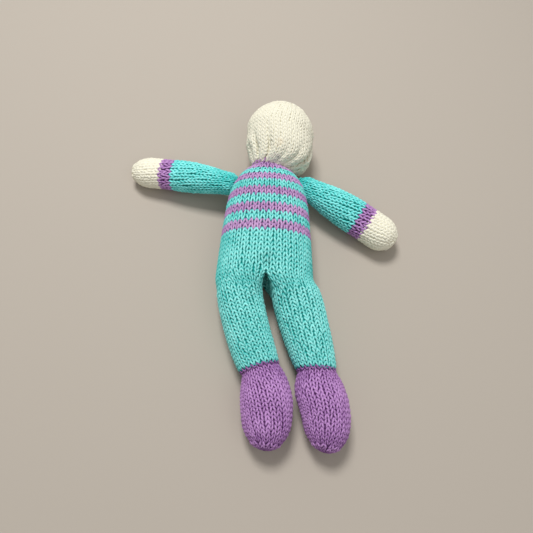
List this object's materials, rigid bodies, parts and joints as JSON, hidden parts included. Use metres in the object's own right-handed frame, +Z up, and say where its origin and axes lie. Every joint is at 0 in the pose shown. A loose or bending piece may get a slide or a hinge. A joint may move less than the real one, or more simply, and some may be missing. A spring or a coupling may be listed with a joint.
{
  "type": "knitted doll",
  "caption": "Stuffed doll knitted in wool, lying on its back: plain ball head, striped body, arms with cuffs and hands, legs with sewn-on feet, all free to flop at their seams.",
  "frame": {"origin": "on the floor under the middle of the doll's bounding box, as the doll lies on its back", "axes": "+Y towards the crown of the head, +Z up from the floor towards the doll's front, +X to the side that shows on the right when the doll is seen from its front with its head at the top"},
  "size_m": [0.2374, 0.2976, 0.0592],
  "materials": {
    "turquoise_yarn": "hand-knitted double knitting yarn, matt with a soft halo of fibres",
    "sleeve_yarn": "hand-knitted double knitting yarn, a brighter turquoise, matt",
    "lilac_yarn": "hand-knitted double knitting yarn, matt",
    "purple_yarn": "hand-knitted double knitting yarn, a deeper purple, matt",
    "cream_yarn": "hand-knitted double knitting yarn, matt, a little soiled",
    "stuffing": "loose polyester fibre"
  },
  "bodies": {
    "torso": {"trunk_cover": "turquoise_yarn", "stripe_1_lilac": "lilac_yarn", "stripe_2_turquoise": "turquoise_yarn", "stripe_3_lilac": "lilac_yarn", "stripe_4_turquoise": "turquoise_yarn", "stripe_5_lilac": "lilac_yarn", "stripe_6_turquoise": "turquoise_yarn", "stripe_7_lilac": "lilac_yarn", "stripe_8_turquoise": "turquoise_yarn", "collar": "lilac_yarn", "body_stuffing": "stuffing"},
    "neck": {"neck_yarn": "lilac_yarn"},
    "head": {"head_cover": "cream_yarn", "head_stuffing": "stuffing", "crown_yarn": "cream_yarn"},
    "left_shoulder": {"left_shoulder_seam": "sleeve_yarn"},
    "left_arm": {"left_sleeve": "sleeve_yarn", "left_cuff": "purple_yarn", "left_hand": "cream_yarn", "left_arm_stuffing": "stuffing", "left_hand_yarn": "cream_yarn"},
    "left_leg": {"left_leg_cover": "turquoise_yarn", "left_leg_stuffing": "stuffing"},
    "left_ankle": {"left_ankle_seam": "purple_yarn"},
    "left_foot": {"left_foot_cover": "purple_yarn", "left_foot_stuffing": "stuffing", "left_toe_yarn": "purple_yarn"},
    "right_shoulder": {"right_shoulder_seam": "sleeve_yarn"},
    "right_arm": {"right_sleeve": "sleeve_yarn", "right_cuff": "purple_yarn", "right_hand": "cream_yarn", "right_arm_stuffing": "stuffing", "right_hand_yarn": "cream_yarn"},
    "right_leg": {"right_leg_cover": "turquoise_yarn", "right_leg_stuffing": "stuffing"},
    "right_ankle": {"right_ankle_seam": "purple_yarn"},
    "right_foot": {"right_foot_cover": "purple_yarn", "right_foot_stuffing": "stuffing", "right_toe_yarn": "purple_yarn"}
  },
  "joints": [
    {"name": "neck_turn", "type": "hinge", "parent": "torso", "child": "neck", "pos_m": [0.00374, 0.08269, 0.0245], "axis": [0, 1, 0], "range_deg": [-60, 60]},
    {"name": "neck_nod", "type": "hinge", "parent": "neck", "child": "head", "pos_m": [0.00374, 0.08269, 0.0245], "axis": [1, 0, 0], "range_deg": [-20, 21]},
    {"name": "left_shoulder_swing", "type": "hinge", "parent": "torso", "child": "left_shoulder", "pos_m": [-0.03113, 0.06899, 0.024], "axis": [0, 0, -1], "range_deg": [-40, 60]},
    {"name": "left_shoulder_lift", "type": "hinge", "parent": "left_shoulder", "child": "left_arm", "pos_m": [-0.03113, 0.06899, 0.024], "axis": [0.1736, 0.9848, 0], "range_deg": [-20, 60]},
    {"name": "left_hip_lift", "type": "hinge", "parent": "torso", "child": "left_leg", "pos_m": [-0.01751, -0.01581, 0.0445], "axis": [-1, 0, 0], "range_deg": [-5, 90]},
    {"name": "left_ankle_turn", "type": "hinge", "parent": "left_leg", "child": "left_ankle", "pos_m": [0.0036, -0.08945, 0.017], "axis": [0.3584, -0.9336, 0], "range_deg": [-40, 40]},
    {"name": "left_ankle_flex", "type": "hinge", "parent": "left_ankle", "child": "left_foot", "pos_m": [0.0036, -0.08945, 0.017], "axis": [-0.9336, -0.3584, 0], "range_deg": [-16, 16]},
    {"name": "right_shoulder_swing", "type": "hinge", "parent": "torso", "child": "right_shoulder", "pos_m": [0.0386, 0.06899, 0.024], "axis": [0, 0, 1], "range_deg": [-11, 60]},
    {"name": "right_shoulder_lift", "type": "hinge", "parent": "right_shoulder", "child": "right_arm", "pos_m": [0.0386, 0.06899, 0.024], "axis": [-0.4147, -0.91, 0], "range_deg": [-20, 60]},
    {"name": "right_hip_lift", "type": "hinge", "parent": "torso", "child": "right_leg", "pos_m": [0.02499, -0.01581, 0.0445], "axis": [-1, 0, 0], "range_deg": [-5, 90]},
    {"name": "right_ankle_turn", "type": "hinge", "parent": "right_leg", "child": "right_ankle", "pos_m": [0.04685, -0.08963, 0.017], "axis": [-0.0174, -0.9998, 0], "range_deg": [-40, 40]},
    {"name": "right_ankle_flex", "type": "hinge", "parent": "right_ankle", "child": "right_foot", "pos_m": [0.04685, -0.08963, 0.017], "axis": [-0.9998, 0.0174, 0], "range_deg": [-16, 16]}
  ]
}
